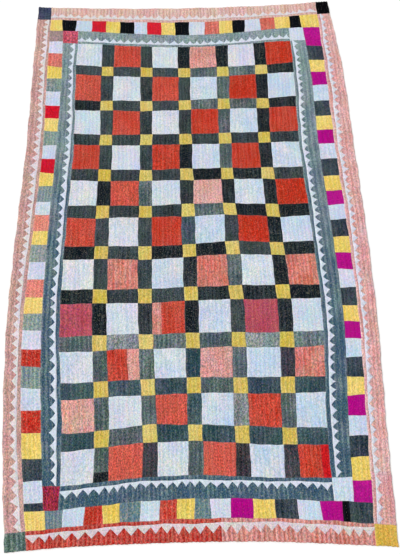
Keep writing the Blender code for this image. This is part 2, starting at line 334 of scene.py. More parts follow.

# Cloth colours, as red, green and blue from 0 to 255: the cloth itself, the cloth where
# it has faded and its specks. Then how far each shows: streaks along the rows, clouds,
# rubbed rib crests with painted light and valleys with painted shade, grain, specks, paler rims, and how far
# the hue changes
LOOK_COLUMNS = ("colour", "faded", "speck", "streak", "cloud", "wear_and_rib_shade", "grain", "specks", "rim", "hue")
LOOKS = {
    "patches_white": ((172, 199, 225), (218, 216, 216), (222, 196, 180),
                      0.8, 1.3, 0.2, 0.65, 0.35, 0.6, 0.75),
    "patches_red": ((176, 42, 22), (206, 108, 94), (204, 104, 84), 0.8, 0.5, 0.2, 1.5, 0.3, 0.15, 1.0),
    "patches_scarlet": ((186, 14, 22), (196, 50, 44), (150, 40, 60), 0.6, 0.4, 0.15, 1.2, 0.3, 0.1, 0.8),
    "patches_salmon": ((188, 94, 78), (212, 170, 162), (206, 100, 84), 0.9, 0.8, 0.2, 1.3, 0.35, 0.2, 1.1),
    "patches_crimson": ((162, 62, 74), (190, 112, 118), (170, 50, 130), 0.7, 0.8, 0.2, 1.2, 0.4, 0.15, 1.1),
    "sashes_black": ((8, 20, 28), (70, 84, 88), (92, 92, 84), 0.8, 0.9, 0.25, 2.2, 0.5, 0.08, 1.3),
    "sashes_grey": ((64, 82, 86), (136, 150, 152), (124, 116, 104), 0.9, 1.1, 0.25, 2.0, 0.45, 0.1, 1.5),
    "sashes_blue_green": ((28, 58, 70), (88, 110, 118), (104, 104, 92), 0.9, 1.0, 0.25, 2.0, 0.45, 0.1, 1.5),
    "sashes_purple": ((22, 26, 36), (78, 84, 92), (110, 70, 76), 0.8, 0.9, 0.25, 2.2, 0.5, 0.08, 1.4),
    "corner_squares": ((194, 170, 60), (220, 210, 142), (198, 136, 84), 0.7, 0.9, 0.2, 1.0, 0.35, 0.2, 0.7),
    "squares_yellow": ((218, 190, 78), (240, 224, 154), (212, 144, 90), 0.6, 0.8, 0.2, 0.8, 0.3, 0.2, 0.6),
    "squares_black": ((0, 2, 6), (22, 30, 36), (40, 40, 60), 0.5, 0.4, 0.2, 1.6, 0.2, 0.03, 1.2),
    "squares_white": ((182, 204, 226), (220, 216, 220), (226, 192, 194), 0.7, 1.2, 0.2, 0.5, 0.35, 0.5, 0.8),
    "squares_bright_red": ((196, 16, 36), (212, 56, 58), (190, 30, 110), 0.5, 0.4, 0.15, 1.0, 0.25, 0.1, 0.8),
    "squares_red": ((176, 38, 26), (220, 142, 128), (222, 140, 110), 0.7, 0.6, 0.2, 1.4, 0.3, 0.15, 1.0),
    "squares_magenta": ((164, 0, 124), (190, 40, 150), (200, 40, 90), 0.5, 0.3, 0.1, 0.8, 0.2, 0.05, 0.6),
    "squares_dark": ((22, 42, 56), (80, 92, 100), (96, 88, 80), 0.8, 1.0, 0.25, 2.0, 0.45, 0.08, 1.4),
    "squares_grey": ((84, 116, 130), (148, 162, 158), (180, 160, 100), 0.9, 0.9, 0.45, 1.4, 0.35, 0.1, 1.2),
    "squares_mauve": ((140, 116, 122), (176, 152, 148), (160, 140, 100), 0.7, 0.9, 0.25, 1.3, 0.5, 0.15, 1.2),
    "band": ((52, 82, 104), (134, 152, 156), (136, 142, 126), 0.9, 1.2, 0.35, 1.8, 0.4, 0.1, 1.0),
    "rose": ((176, 60, 70), (198, 118, 120), (170, 60, 140), 1.0, 0.8, 0.3, 2.2, 0.6, 0.15, 1.6),
    "plum": ((136, 32, 42), (160, 62, 76), (170, 20, 110), 0.9, 0.7, 0.3, 2.2, 0.6, 0.15, 1.6),
    "pink_left": ((176, 132, 126), (214, 184, 180), (172, 140, 118), 0.9, 0.9, 0.3, 1.3, 0.4, 0.2, 0.9),
    "pink_head": ((198, 152, 144), (228, 204, 200), (208, 182, 140), 1.0, 0.9, 0.5, 1.2, 0.4, 0.2, 0.9),
    "pink_right": ((198, 142, 138), (228, 198, 196), (194, 126, 130), 0.9, 1.0, 0.35, 1.2, 0.4, 0.2, 0.8),
    "pink_foot": ((180, 96, 84), (214, 168, 164), (180, 140, 130), 1.2, 1.0, 0.45, 1.4, 0.35, 0.2, 0.9),
    "red_foot": ((168, 36, 28), (204, 116, 104), (206, 130, 110), 1.1, 0.8, 0.42, 1.5, 0.35, 0.15, 0.9),
    "ink": ((34, 46, 74), (96, 102, 124), (8, 14, 34), 1.3, 1.0, 0.2, 3.4, 1.0, 0.05, 1.8),
    "jet": ((0, 0, 2), (8, 6, 14), (20, 14, 30), 0.4, 0.4, 0.1, 1.2, 0.2, 0.02, 0.6),
    "bottle": ((64, 84, 78), (128, 144, 138), (96, 124, 124), 1.3, 0.9, 0.5, 2.2, 0.4, 0.1, 1.2),
    "gold": ((200, 160, 56), (218, 190, 104), (180, 110, 40), 0.7, 0.6, 0.3, 0.8, 0.35, 0.15, 0.7),
    "trim_white": ((196, 208, 226), (220, 226, 234), (210, 200, 196), 0.6, 0.9, 0.15, 0.5, 0.25, 0.3, 0.5),
    "trim_pale": ((210, 206, 214), (228, 220, 222), (214, 190, 150), 0.6, 0.9, 0.15, 0.5, 0.35, 0.3, 0.6),
    "trim_lilac": ((204, 196, 206), (222, 206, 208), (200, 180, 120), 0.6, 0.9, 0.15, 0.6, 0.4, 0.3, 0.8),
    "trim_grey": ((198, 206, 222), (222, 214, 222), (206, 184, 178), 0.6, 1.0, 0.15, 0.7, 0.4, 0.3, 0.5),
    "undyed": ((184, 174, 156), (212, 204, 190), (160, 142, 118), 0.6, 0.8, 0.4, 0.7, 0.35, 0.1, 0.3),
    "thread": ((150, 144, 130), (190, 184, 170), (120, 106, 90), 0.6, 0.6, 0.0, 0.3, 0.2, 0.0, 0.1),
    # The trims' stitches are real thread; their dark colour paints the shadow line along the trims' edges
    "thread_dark_shadow_line": ((96, 96, 86), (140, 136, 124), (90, 80, 70), 0.6, 0.6, 0.0, 0.3, 0.2, 0.0, 0.1),
}
# How large the lumps of each noise are: across, along, and from one piece to the next
STREAK_SIZE = (0.0065, 0.10, 1.0)
CLOUD_SIZE = (0.055, 0.075, 0.7)
HUE_SIZE = (0.045, 0.09, 0.9)
GRAIN_SIZE = (0.0036, 0.0056, 0.5)
SPECK_SIZE = (0.0040, 0.0050, 0.31)
WEAVE_PITCH = 0.0011
WEAVE_DEPTH = 0.0003
WEAVE_SHADE = 0.16
HUE_CLOUDS = 0.45
HUE_GRAIN = 0.9
GRAIN_SHADE = 1.3
RIM_COLOUR = (246, 247, 250)
RIM_STRENGTH = 0.5
SPECK_FLOOR = 0.57
SPECK_EDGE = 8.0
WEAVE_SHARE = 0.7               # how deep the weave is for each part of grain in the bump
BUMP_STRENGTH = 0.6
ROUGHNESS = 0.82
ROUGHNESS_CHANGE = 0.16
SPECULAR = 0.05
SEEDS = (0, 90)                 # where in the noises a piece's own pattern may start
BACKING_SEED = 5.0
BACKING_FADE = 0.3
PALEST_THREAD = 0.9
BAND_FADES = (0.05, 0.85)       # how faded the band is at its foot, and how much more at its head
BAND_FADE_POWER = 1.6
SHARP_ANGLE = math.radians(62)
SETTLING_ROUNDS = 8             # enough for the crossing of two lines to stop moving

Piece = namedtuple("Piece", "left_foot right_foot left_head right_head fade")
chance = np.random.default_rng(11)


# The flat cloth and the surface

def smoothstep(share):
    """0 up to 0, 1 from 1 on, and an even curve between."""
    share = np.clip(share, 0, 1)
    return share ** 2 * (3 - 2 * share)


def smooth(stations, values, at):
    """The smooth curve through values at stations, read at the given places."""
    stations = np.asarray(stations)
    values = np.asarray(values)
    past_end = 0.2
    slopes = np.gradient(values, stations)
    low = np.clip(np.searchsorted(stations, at) - 1, 0, len(stations) - 2)
    width = stations[low + 1] - stations[low]
    u = np.clip((at - stations[low]) / width, -past_end, 1 + past_end)
    return ((1 + 2 * u) * (1 - u) ** 2 * values[low] + u * (1 - u) ** 2 * width * slopes[low]
            + u ** 2 * (3 - 2 * u) * values[low + 1] - u ** 2 * (1 - u) * width * slopes[low + 1])


def flat(line):
    """A line's own place in the flat cloth: where it crosses the middle."""
    return (LENGTHWISE.get(line) or CROSSWISE[line])[MIDDLE]


def between(lines, stations, along, place):
    """Where the cloth at a flat place lies, between the two lines next to it."""
    flats = [row[MIDDLE] for row in lines.values()]
    curves = np.array([smooth(stations, row, along) for row in lines.values()])
    low = np.clip(np.searchsorted(flats, place, side="right") - 1, 0, len(flats) - 2)
    share = (place - np.take(flats, low)) / (np.take(flats, low + 1) - np.take(flats, low))
    each = np.arange(len(along))
    return curves[low, each] * (1 - share) + curves[low + 1, each] * share


def laid(across, along):
    """Where points of the flat cloth lie on the surface, as x and y."""
    across = np.asarray(across, dtype=float)
    along = np.asarray(along, dtype=float)
    x, y = across.copy(), along.copy()
    for _ in range(SETTLING_ROUNDS):
        x = between(LENGTHWISE, HEIGHTS, y, across)
        y = between(CROSSWISE, DISTANCES, x, along)
    return x, y


def flat_places(lines, stations, along, at):
    """The flat places of spots on the surface, read between the lines."""
    flats = [row[MIDDLE] for row in lines.values()]
    curves = np.array([smooth(stations, row, np.asarray(along)) for row in lines.values()])
    return [float(np.interp(spot, curve, flats)) for spot, curve in zip(at, curves.T)]


def middle_of_outline():
    """The middle of the box around the outline, which the quilt is centred on."""
    count = 41
    sides = np.linspace(flat("foot_edge"), flat("head_edge"), count)
    ends = np.linspace(flat("left_edge"), flat("right_edge"), count)
    left, right = [laid(np.full(count, flat(line)), sides)[0] for line in ("left_edge", "right_edge")]
    foot, head = [laid(ends, np.full(count, flat(line)))[1] for line in ("foot_edge", "head_edge")]
    return (left.min() + right.max()) / 2, (foot.min() + head.max()) / 2


CENTRE = middle_of_outline()


def quilting_rows():
    """The flat places of the rows of stitches, sewn by eye and so not evenly apart."""
    spacing = np.random.default_rng(5)
    places = [flat("left_edge") - ROW_SPACINGS[1]]
    while places[-1] < flat("right_edge") + ROW_SPACINGS[1]:
        places.append(places[-1] + spacing.uniform(*ROW_SPACINGS))
    return np.array(places)


ROWS = quilting_rows()
ROW_NUMBERS = np.arange(len(ROWS))


def wave(place, length, start=0.0):
    """A sine wave of the given length."""
    return np.sin(2 * np.pi * place / length + start)


def wander(across, along):
    """How far the rows of stitches stray sideways at a place."""
    return ROW_WANDER * sum(share * wave(along, length, slant * across + start)
                            for share, length, slant, start in ROW_WAVES)


def row_phase(across, along):
    """How far through its rib a place is: whole numbers are rows of stitches."""
    return np.interp(across + wander(across, along), ROWS, ROW_NUMBERS)


def row_shift(row):
    """Half a stitch for some rows, so that the stitches don't line up."""
    return 0.5 * (np.floor(row * ROW_TURN) % 2)


def crest(across, along):
    """0 at a row of stitches, 1 on top of the rib beside it."""
    return (0.5 - 0.5 * np.cos(2 * np.pi * row_phase(across, along))) ** RIB_SHARPNESS


def towards_foot(along):
    """0 at the quilt's head, 1 at its foot, where it is sewn tighter and its ribs are rubbed more and given
    more painted light and shade.
    """
    return (flat("head_edge") - along) / (flat("head_edge") - flat("foot_edge"))


def rib_wear_and_shade(across, along):
    """How far a place is moved towards its faded colour by its rib, 0.5 halfway up a rib and most on the
    foot's ribs: crests paler, partly rubbed and partly painted light, valleys darker with painted shade.
    """
    return 0.5 + (crest(across, along) - 0.5) * (RIB_WEAR_AND_SHADE_AT_HEAD + RIB_WEAR_AND_SHADE_AT_FOOT * towards_foot(along))


def slack(across, along):
    """How full the ribs are at a place, about 1."""
    slow = np.sin(31 * across + 7 * np.sin(5 * along)) * np.sin(23 * along + 2)
    quick = np.sin(71 * across + 3 * np.sin(19 * along)) * np.sin(67 * along)
    return 1 + SLACKNESS[0] * slow + SLACKNESS[1] * quick + FOOT_PULL * (towards_foot(along) - 0.5)


def fullness(phase):
    """How high a rib rises for its width, about 1."""
    widths = np.diff(ROWS)
    return (widths / widths.mean())[np.minimum(phase.astype(int), len(widths) - 1)]


def wrinkles(across, along):
    """Small creases across the ribs, where the thread gathers the cloth unevenly."""
    run = along / 0.0145 + 0.7 * np.sin(along / 0.033) + 1.9 * np.sin(across / 0.031)
    patchy = 0.55 + 0.45 * np.sin(across / 0.047 + 2.1 * np.sin(along / 0.09))
    return patchy * np.cos(2 * np.pi * run)


def ribs(across, along):
    """The height of the quilted cloth over its rows of stitches."""
    phase = row_phase(across, along)
    tight = (0.5 + 0.5 * np.cos(2 * np.pi * phase)) ** 2
    pull = 0.5 * np.cos(2 * np.pi * (along / STITCH_PITCH - row_shift(np.round(phase))))
    rise = RIB_HEIGHT * slack(across, along) * fullness(phase) * crest(across, along)
    creases = WRINKLE_DEPTH * wrinkles(across, along) * (0.5 + 0.5 * tight)
    return np.maximum(rise - PUCKER_DEPTH * tight * pull + creases, LOWEST)


def face_height(across, along):
    """The height of the quilted cloth's face."""
    return CLOTH_BASE + CLOTH_THICKNESS + ribs(across, along)


def margins(across, along):
    """How far a flat place is from the quilt's left, right, foot and head."""
    return (across - flat("left_edge"), flat("right_edge") - across,
            along - flat("foot_edge"), flat("head_edge") - along)


def outline_distance(across, along):
    """How far inside the quilt's edge a flat place is."""
    left, right, foot, head = margins(across, along)
    return np.minimum(np.minimum(left, right), np.minimum(foot, head))


def edge_round(across, along, at_edge, inside):
    """A height that goes from one at the outline to another, in the edge's quarter round."""
    share = np.clip(outline_distance(across, along) / EDGE_RADIUS, 0, 1)
    return at_edge + (inside - at_edge) * np.sqrt(1 - (1 - share) ** 2)


def shuffled(across, along):
    """Flat places moved a little every way, as hand sewing pulls the cloth and its seams."""
    sideways = (np.sin(along / 0.0105 + 3 * np.sin(across / 0.06)) * 0.35
                + np.sin(along / 0.027 + across / 0.045) * np.sin(across / 0.07 + 2) * 0.75)
    lengthways = (np.sin(across / 0.0105 + 3 * np.sin(along / 0.055)) * 0.35
                  + np.sin(across / 0.029 - along / 0.043) * np.sin(along / 0.08 + 1) * 0.75)
    return across + SHUFFLE * sideways, along + SHUFFLE * lengthways


def pulled(across, along):
    """Flat places with the edge drawn in by its rows of stitches and its hem."""
    moved_across, moved_along = shuffled(across, along)
    tight = 0.5 + 0.5 * np.cos(2 * np.pi * row_phase(across, along))
    to_left, to_right, to_foot, to_head = [1 - smoothstep(margin / SCALLOP_REACH)
                                           for margin in margins(across, along)]
    ripple = EDGE_RIPPLE * (np.sin(along / 0.0071) * np.sin(along / 0.019) + 0.4 * np.sin(along / 0.043))
    return (moved_across + ripple * (to_left - to_right),
            moved_along + SCALLOP * (tight - 0.5) * (to_foot - to_head))


# Meshes

def store(mesh, name, values):
    """Keeps a value for each point, which the materials read by its name."""
    attribute = mesh.attributes.new(name, "FLOAT_VECTOR", "POINT")
    attribute.data.foreach_set("vector", np.asarray(values, dtype=np.float32).ravel())


def linked(name, data):
    """A new object in the scene."""
    made = bpy.data.objects.new(name, data)
    bpy.context.scene.collection.objects.link(made)
    return made


def new_object(name, points, faces, flats, wear_and_rib_shade, look, slot, nodes):
    """A piece made of points and faces, riding on the quilt."""
    mesh = bpy.data.meshes.new(name)
    mesh.from_pydata(points.tolist(), [], faces)
    store(mesh, "flat", flats)
    store(mesh, "wear_and_rib_shade", wear_and_rib_shade)
    mesh.shade_smooth()
    mesh.set_sharp_from_angle(angle=SHARP_ANGLE)
    mesh.materials.append(material(look))
    piece = linked(name, mesh)
    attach(piece, "root")
    if nodes:
        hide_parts(*nodes)
    return piece


def stops(low, high, places):
    """The lines of a piece's grid: shares of its low and its high edge, and a distance."""
    kept = places[(places > low + RING_CLEARANCE) & (places < high - RING_CLEARANCE)]
    near = [(1, 0, SEAM_GAP / 2 + inset) for inset in RINGS]
    inner = [(0, 0, place) for place in kept]
    far = [(0, 1, -SEAM_GAP / 2 - inset) for inset in reversed(RINGS)]
    return np.array(near + inner + far)


def column_places(columns_per_rib):
    """Where a grid's columns may run: even parts of each rib."""
    return np.interp(np.arange(0, len(ROWS) - 1, 1 / columns_per_rib), ROW_NUMBERS, ROWS)


def row_places(row_step):
    """Where a grid's rows may run: even steps from the middle."""
    count = math.ceil(flat("head_edge") / row_step)
    return np.arange(-count, count + 1) * row_step


def grid_places(piece, columns_per_rib, row_step):
    """Flat places of a piece's grid, and how far each is from the piece's seams."""
    left = (piece.left_foot[0], piece.left_head[0])
    right = (piece.right_foot[0], piece.right_head[0])
    foot = (piece.left_foot[1], piece.right_foot[1])
    head = (piece.left_head[1], piece.right_head[1])
    columns = stops(max(left), min(right), column_places(columns_per_rib))
    rows = stops(max(foot), min(head), row_places(row_step))
    rough_across = columns @ (np.mean(left), np.mean(right), 1)
    rough_along = rows @ (np.mean(foot), np.mean(head), 1)
    left_edge = np.interp(rough_along, (foot[0], head[0]), left)[:, None]
    right_edge = np.interp(rough_along, (foot[1], head[1]), right)[:, None]
    foot_edge = np.interp(rough_across, (left[0], right[0]), foot)[None, :]
    head_edge = np.interp(rough_across, (left[1], right[1]), head)[None, :]
    free = (columns[:, 0] + columns[:, 1] == 0)[None, :]
    across = columns[:, 0] * left_edge + columns[:, 1] * right_edge + columns[:, 2]
    across = across - free * wander(across, rough_along[:, None])
    along = (rows[:, 0][:, None] * foot_edge + rows[:, 1][:, None] * head_edge
             + rows[:, 2][:, None])
    seam = np.full(across.shape, FAR_OFF)
    for place, edge, line in ((across, left_edge, "left_edge"), (across, right_edge, "right_edge"),
                              (along, foot_edge, "foot_edge"), (along, head_edge, "head_edge")):
        if abs(np.mean(edge) - flat(line)) > EDGE_RADIUS:
            seam = np.minimum(seam, np.abs(place - edge))
    return across, along, seam


def rings_in(rows, columns):
    """How many rings in from its rim each place of a grid is."""
    row, column = np.indices((rows, columns))
    return np.minimum(np.minimum(row, rows - 1 - row), np.minimum(column, columns - 1 - column))


def quads(numbers):
    """The faces between the numbered points of a grid."""
    corners = (numbers[:-1, :-1], numbers[:-1, 1:], numbers[1:, 1:], numbers[1:, :-1])
    return np.stack(corners, axis=-1)


def ring(numbers, inset):
    """The numbers along one ring of a grid."""
    rows, columns = numbers.shape
    inner = numbers[inset:rows - inset, inset:columns - inset]
    return np.concatenate([inner[0, :-1], inner[:-1, -1], inner[-1, :0:-1], inner[:0:-1, 0]])


def closed_cloth(across, along, above, below, under_rings=None, upside_down=False):
    """Points and faces of one closed cloth: a fine side, a rim and the other side.

    The other side keeps the grid's outermost rings and is one plain face inside them,
    or keeps the whole grid where under_rings is None.
    """
    rows, columns = across.shape
    number = np.arange(rows * columns).reshape(rows, columns)
    behind = rings_in(rows, columns) < (under_rings or rows + columns)
    behind_number = np.full((rows, columns), -1)
    behind_number[behind] = rows * columns + np.arange(behind.sum())
    x, y = laid(*[places.ravel() for places in pulled(across, along)])
    x, y = (x - CENTRE[0]).reshape(rows, columns), (y - CENTRE[1]).reshape(rows, columns)
    points = np.concatenate([np.stack([x, y, above], axis=-1).reshape(-1, 3),
                             np.stack([x, y, below], axis=-1)[behind]])
    kept = rings_in(rows - 1, columns - 1) < (under_rings - 1 if under_rings else rows + columns)
    plain = quads(behind_number)[kept][:, ::-1]
    above_rim, below_rim = ring(number, 0), ring(behind_number, 0)
    rim = np.stack([above_rim, below_rim, np.roll(below_rim, -1), np.roll(above_rim, -1)], axis=-1)
    faces = np.concatenate([quads(number).reshape(-1, 4), plain, rim])
    last = [ring(behind_number, under_rings - 1)[::-1].tolist()] if under_rings else []
    if upside_down:
        faces, last = faces[:, ::-1], [face[::-1] for face in last]
    return points, faces.tolist() + last, behind


def readings(across, along, seed, fade, seam, behind):
    """What the materials read at each point of a closed cloth: its flat place, and its fade, its rib's
    rubbing with painted light and shade, and its distance from a seam.
    """
    both = []
    for values in ((across, along, seed), (fade, rib_wear_and_shade(across, along), np.clip(seam / RIM_WIDTH, 0, 1))):
        values = np.stack(np.broadcast_arrays(*values), axis=-1)
        both.append(np.concatenate([values.reshape(-1, 3), values[behind]]))
    return both


def top_heights(across, along, seam):
    """The upper and the lower face of the pieced top, with its seams and its edge."""
    rim = np.sin(np.pi * np.clip(seam / RIM_WIDTH, 0, 1))
    dip = SEAM_DIP * (1 - smoothstep(seam / SEAM_WIDTH))
    return (edge_round(across, along, EDGE_HIGH, face_height(across, along) + RIM_RISE * rim - dip),
            edge_round(across, along, EDGE_HIGH - LAYER_GAP / 2, CLOTH_BASE))


def back_heights(across, along):
    """The lower and the upper face of the backing."""
    groove = GROOVE_DEPTH * (1 - crest(across, along)) ** 2
    return (edge_round(across, along, EDGE_LOW, groove),
            edge_round(across, along, EDGE_LOW + LAYER_GAP / 2, GROUND_THICKNESS))


def cloth(name, pieces, look, slot, nodes):
    """An object of one or more pieces of the same cloth."""
    made, all_faces = [], []
    count, area = 0, 0.0
    for piece in pieces:
        across, along, seam = grid_places(piece, COLUMNS_PER_RIB, ROW_STEP)
        at_edge = outline_distance(across, along).min() < EDGE_RADIUS
        heights = top_heights(across, along, seam)
        points, faces, behind = closed_cloth(across, along, *heights, len(RINGS) if at_edge else 1)
        fade = piece.fade(across, along) if callable(piece.fade) else piece.fade
        made.append((points, *readings(across, along, chance.uniform(*SEEDS), fade, seam, behind)))
        all_faces += [[count + corner for corner in face] for face in faces]
        count += len(points)
        area += np.ptp(across) * np.ptp(along)
    points, flats, wear_and_rib_shade = [np.concatenate(values) for values in zip(*made)]
    whole = new_object(name, points, all_faces, flats, wear_and_rib_shade, look, slot + "_cotton", nodes)


def box_piece(left, right, foot, head, fade):
    """A piece with its edges on the lines of the flat cloth."""
    return Piece((left, foot), (right, foot), (left, head), (right, head), fade)


# The pieces of the top

def field_corners():
    """Corners of the pieced field: one grid of places for each row's head and foot."""
    uprights = [flat_places(LENGTHWISE, HEIGHTS, SASH_HEIGHTS, row) for row in UPRIGHT_MIDDLES]
    levels = [flat_places(CROSSWISE, DISTANCES, SASH_DISTANCES, row) for row in LEVEL_MIDDLES]
    widths = np.linspace(*LEVEL_SASH_WIDTHS, len(levels))
    phases = chance.uniform(0, 2 * np.pi, 2 * len(levels))
    last_level, last_upright = 2 * len(levels) + 1, 2 * len(uprights) + 1

    def level(seam, across):
        if seam in (0, last_level):
            return flat("foot_field" if seam else "head_field")
        sash = (seam - 1) // 2
        side = 0.5 if seam % 2 else -0.5
        bend = SEAM_WAVE * wave(across, SEAM_WAVE_LENGTH, phases[seam - 1])
        return float(smooth(SASH_DISTANCES, levels[sash], across)) + side * widths[sash] + bend

    def upright(seam, along):
        if seam in (0, last_upright):
            return flat("right_field" if seam else "left_field")
        side = -0.5 if seam % 2 else 0.5
        middle = float(smooth(SASH_HEIGHTS, uprights[(seam - 1) // 2], along))
        return middle + side * UPRIGHT_SASH_WIDTH

    rows = []
    for row in range(last_level):
        heads, feet = [], []
        for seam in range(last_upright + 1):
            moves = seam not in (0, last_upright)
            shift = moves * chance.uniform(-SEAM_SHIFT, SEAM_SHIFT)
            tilt = moves * chance.uniform(-SEAM_TILT, SEAM_TILT)
            head = upright(seam, level(row, 0)) + shift + tilt
            foot = upright(seam, level(row + 1, 0)) + shift - tilt
            heads.append((head, level(row, head)))
            feet.append((foot, level(row + 1, foot)))
        rows.append((heads, feet))
    return rows


def part_of(start, end, share):
    """A point some way from start to end."""
    return tuple(a + (b - a) * share for a, b in zip(start, end))


def changed(fade):
    """A fade that differs a little from piece to piece."""
    return min(max(fade + chance.uniform(-FADE_CHANGE, FADE_CHANGE), 0), 1)


def field_pieces():
    """The patches, sashes and corner squares of the field, under the names of their cloths."""
    groups = {}

    def add(kind, *corners):
        group, fade = kind
        if group.startswith("patches"):
            # Painted light: the patches are painted paler farther to the left
            fade = fade - SIDE_PAINTED_LIGHT * corners[0][0]
        groups.setdefault(group, []).append(Piece(*corners, changed(fade)))

    joined = {(row, column): rest for row, column, *rest in JOINED_PATCHES}
    for row, (heads, feet) in enumerate(field_corners()):
        for seam, corners in enumerate(zip(feet, feet[1:], heads, heads[1:])):
            left_foot, right_foot, left_head, right_head = corners
            line, place = row // 2, seam // 2
            if row % 2 and seam % 2:
                add(("corner_squares", YELLOW_FADE), *corners)
            elif row % 2:
                add(SASH_CLOTHS[LEVEL_SASHES[line][place]], *corners)
            elif seam % 2 and (line + 1, place) == (len(PATCH_ROWS), 0):
                left = part_of(left_foot, left_head, BLACK_SASH_FOOT)
                right = part_of(right_foot, right_head, BLACK_SASH_FOOT)
                add(SASH_CLOTHS["K"], left_foot, right_foot, left, right)
                add(SASH_CLOTHS[UPRIGHT_SASHES[line][place]], left, right, left_head, right_head)
            elif seam % 2:
                add(SASH_CLOTHS[UPRIGHT_SASHES[line][place]], *corners)
            elif (line + 1, place + 1) in joined:
                first, share, second = joined[line + 1, place + 1]
                foot = part_of(left_foot, right_foot, share)
                head = part_of(left_head, right_head, share)
                add(PATCH_CLOTHS[first], left_foot, foot, left_head, head)
                add(PATCH_CLOTHS[second], foot, right_foot, head, right_head)
            else:
                add(PATCH_CLOTHS[PATCH_ROWS[line][place]], *corners)
    return groups


def square_pieces():
    """The small squares of the four rows, under the names of their cloths."""
    groups = {}
    for strip, (letters, *lines, widths) in SMALL_SQUARES.items():
        low, high, near, far = [flat(line) for line in lines]
        ends = low + (high - low) * np.cumsum((0,) + widths) / sum(widths)
        tilts = chance.uniform(-SQUARE_TILT, SQUARE_TILT, len(ends))
        tilts[0] = tilts[-1] = 0
        near_ends = [(end, near) for end in ends - tilts]
        far_ends = [(end, far) for end in ends + tilts]
        for number, letter in enumerate(letters):
            group, fade = SQUARE_CLOTHS[letter]
            corners = near_ends[number:number + 2] + far_ends[number:number + 2]
            if lines[0] in CROSSWISE:
                near_first, near_last, far_first, far_last = [corner[::-1] for corner in corners]
                corners = (near_last, far_last, near_first, far_first)
            groups.setdefault(group, []).append((strip, Piece(*corners, changed(fade))))
    return groups


# Materials

def linear(colour):
    """A colour of 0 to 255 in linear light, with its alpha."""
    shares = [channel / 255 for channel in colour]
    return (*[s / 12.92 if s <= 0.04045 else ((s + 0.055) / 1.055) ** 2.4 for s in shares], 1)


class Graph:
    """Short ways of adding nodes to a material."""

    def __init__(self, name):
        self.material = bpy.data.materials.new(name)
        self.material.use_nodes = True
        self.tree = self.material.node_tree
        self.shader = self.tree.nodes["Principled BSDF"]

    def give(self, socket, value):
        """Joins a socket to another's output, or sets it; None leaves it alone."""
        if isinstance(value, bpy.types.NodeSocket):
            self.tree.links.new(value, socket)
        elif value is not None:
            socket.default_value = value

    def add(self, kind, *values, **settings):
        """A node of a kind, with these settings and these values for its first sockets."""
        node = self.tree.nodes.new(kind)
        for setting, value in settings.items():
            setattr(node, setting, value)
        for socket, value in zip(node.inputs, values):
            self.give(socket, value)
        return node

    def math(self, operation, *values, clamp=False):
        return self.add("ShaderNodeMath", *values, operation=operation, use_clamp=clamp).outputs[0]

    def vector(self, operation, *values):
        return self.add("ShaderNodeVectorMath", *values, operation=operation).outputs[0]

    def centred(self, value, amount):
        """A value about 0.5, moved to 0 and scaled."""
        return self.math("MULTIPLY", self.math("SUBTRACT", value, 0.5), amount)

    def noise(self, places, size, detail=2.0, roughness=0.55):
        """Noise about 0.5 in lumps of the given size, as a number and as a colour."""
        scaled = self.vector("MULTIPLY", places, tuple(1 / length for length in size))
        return self.add("ShaderNodeTexNoise", scaled, None, 1.0, detail, roughness).outputs[:2]

    def tint(self, colour, hues, amount):
        """A colour whose red, green and blue each change by a noise of their own."""
        spread = self.vector("MULTIPLY_ADD", hues, (amount,) * 3, (1 - amount / 2,) * 3)
        return self.vector("MULTIPLY", colour, spread)

    def mix(self, share, first, second):
        unused = [None] * 5
        return self.add("ShaderNodeMix", share, *unused, first, second, data_type="RGBA").outputs[2]

    def stored(self, name):
        """The three numbers that a mesh keeps for each point, one by one and together."""
        whole = self.add("ShaderNodeAttribute", attribute_name=name).outputs["Vector"]
        return (*self.add("ShaderNodeSeparateXYZ", whole).outputs, whole)


def weave(graph, across, along):
    """The over and under of a plain weave, from 0 to 1."""
    waves = [graph.math("SINE", graph.math("MULTIPLY", place, 2 * math.pi / WEAVE_PITCH))
             for place in (across, along)]
    return graph.math("MULTIPLY_ADD", graph.math("MULTIPLY", *waves), 0.5, 0.5)


